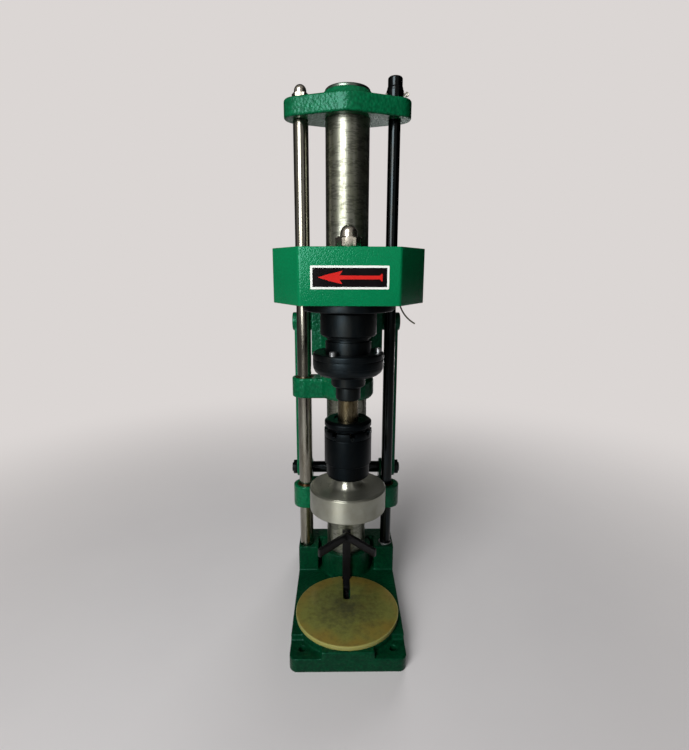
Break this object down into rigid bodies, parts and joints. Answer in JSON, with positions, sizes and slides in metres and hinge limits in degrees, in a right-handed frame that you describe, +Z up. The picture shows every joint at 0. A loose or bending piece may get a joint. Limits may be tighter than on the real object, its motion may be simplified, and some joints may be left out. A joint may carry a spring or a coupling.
{
  "type": "jar capping machine",
  "caption": "Bench jar capping machine: a belt-driven head slides on a polished column between two guide rods and turns a rubber-lined cap head above a round jar pad with a vee locator.",
  "frame": {"origin": "on the floor plane, under the column's axis", "axes": "+Z up along the column, +X to the right seen from the front, the front of the machine towards -Y"},
  "size_m": [0.1763, 0.356, 0.727],
  "materials": {
    "green_enamel": "glossy stipple enamel on cast and folded parts",
    "column_steel": "ground tube with faint cross scratches",
    "bright_rod": "polished round bar",
    "black_rod": "oiled black bar",
    "bright_nut": "bright plated nut",
    "column_cap_steel": "turned disc",
    "pad_resin": "translucent yellow sheet with scuffs",
    "locator_black": "satin black flat bar",
    "black_oxide": "black oxide turned steel",
    "black_screws": "black screws",
    "shaft_steel": "turned steel with oil film",
    "plated_steel": "zinc plate",
    "spring_steel": "drawn spring wire",
    "bronze": "bored bronze",
    "friction_lining": "pressed lining",
    "turned_aluminium": "lathe turned with fine rings",
    "cone_rubber": "moulded rubber",
    "sign_face": "printed face",
    "tray_paint": "satin black sheet",
    "pulley_iron": "machined iron",
    "belt_rubber": "wrapped belt",
    "motor_enamel": "blue grey enamel",
    "box_plastic": "moulded box",
    "tie_nylon": "natural nylon"
  },
  "bodies": {
    "base": {"base_casting": "green_enamel", "base_set_screws": "black_screws", "column": "column_steel", "column_cap": "column_cap_steel", "top_yoke": "green_enamel", "left_rod": "bright_rod", "left_rod_nut": "bright_nut", "right_rod": "black_rod", "rod_collar": "black_rod", "rod_end_cap": "black_rod", "ring_pin": "bright_nut", "rod_foot_bush": "bright_rod", "jar_pad": "pad_resin"},
    "locator": {"locator_post": "locator_black", "locator_vee": "locator_black", "clamp_nut": "plated_steel"},
    "head": {"head_casting": "green_enamel", "guide_bushes": "bronze", "belt_cover": "green_enamel", "cover_tray": "tray_paint", "sign_plate": "sign_face", "bearing_cap": "black_oxide", "cap_screws": "black_screws", "outer_bearings": "shaft_steel", "drive_belt": "belt_rubber", "motor_body": "motor_enamel", "motor_bolts": "plated_steel", "terminal_box": "box_plastic", "side_links": "green_enamel", "link_pins": "plated_steel", "cross_shaft": "bright_rod", "cross_shaft_nuts": "black_screws", "lower_bracket": "green_enamel", "pull_eye": "locator_black", "balance_spring": "spring_steel", "cable_tie": "tie_nylon"},
    "drive_spindle": {"drive_spindle": "shaft_steel", "driven_pulley": "pulley_iron", "inner_races": "shaft_steel", "spindle_nut": "bright_nut", "clutch_driver": "black_oxide", "clutch_springs": "spring_steel", "clutch_ring": "black_oxide", "clutch_cup": "black_oxide", "ring_screws": "black_screws", "friction_discs": "friction_lining"},
    "driven": {"driven_hub": "black_oxide", "lock_nut": "black_oxide", "output_shaft": "shaft_steel", "shaft_key": "plated_steel"},
    "chuck": {"chuck_flange": "black_oxide", "chuck_crown": "black_oxide", "chuck_screws": "black_screws", "chuck_body": "black_oxide", "chuck_lower_ring": "black_oxide", "cap_head": "turned_aluminium", "cap_cone": "cone_rubber", "float_spring": "spring_steel"},
    "motor_rotor": {"motor_shaft": "shaft_steel", "motor_pulley": "pulley_iron"}
  },
  "joints": [
    {"name": "head_slide", "type": "slide", "parent": "base", "child": "head", "axis": [0, 0, 1], "range_m": [-0.064, 0.155], "stiffness_N_per_m": 400, "springref_m": 0.594, "deforming": ["balance_spring"]},
    {"name": "spindle_spin", "type": "hinge", "parent": "head", "child": "drive_spindle", "pos_m": [0, -0.108, 0.45], "axis": [0, 0, 1], "continuous": true},
    {"name": "motor_spin", "type": "hinge", "parent": "head", "child": "motor_rotor", "pos_m": [0, 0.094, 0.45], "axis": [0, 0, 1], "continuous": true},
    {"name": "clutch_slip", "type": "hinge", "parent": "drive_spindle", "child": "driven", "pos_m": [0, -0.108, 0.38], "axis": [0, 0, 1], "continuous": true},
    {"name": "chuck_float", "type": "slide", "parent": "driven", "child": "chuck", "axis": [0, 0, 1], "range_m": [0, 0.01], "stiffness_N_per_m": 2000, "springref_m": -0.01, "deforming": ["float_spring"]},
    {"name": "locator_slide", "type": "slide", "parent": "base", "child": "locator", "axis": [0, -1, 0], "range_m": [0, 0.024]}
  ],
  "couplings": [
    {"joint": "motor_spin", "follows": "spindle_spin", "ratio": 1.3333}
  ]
}
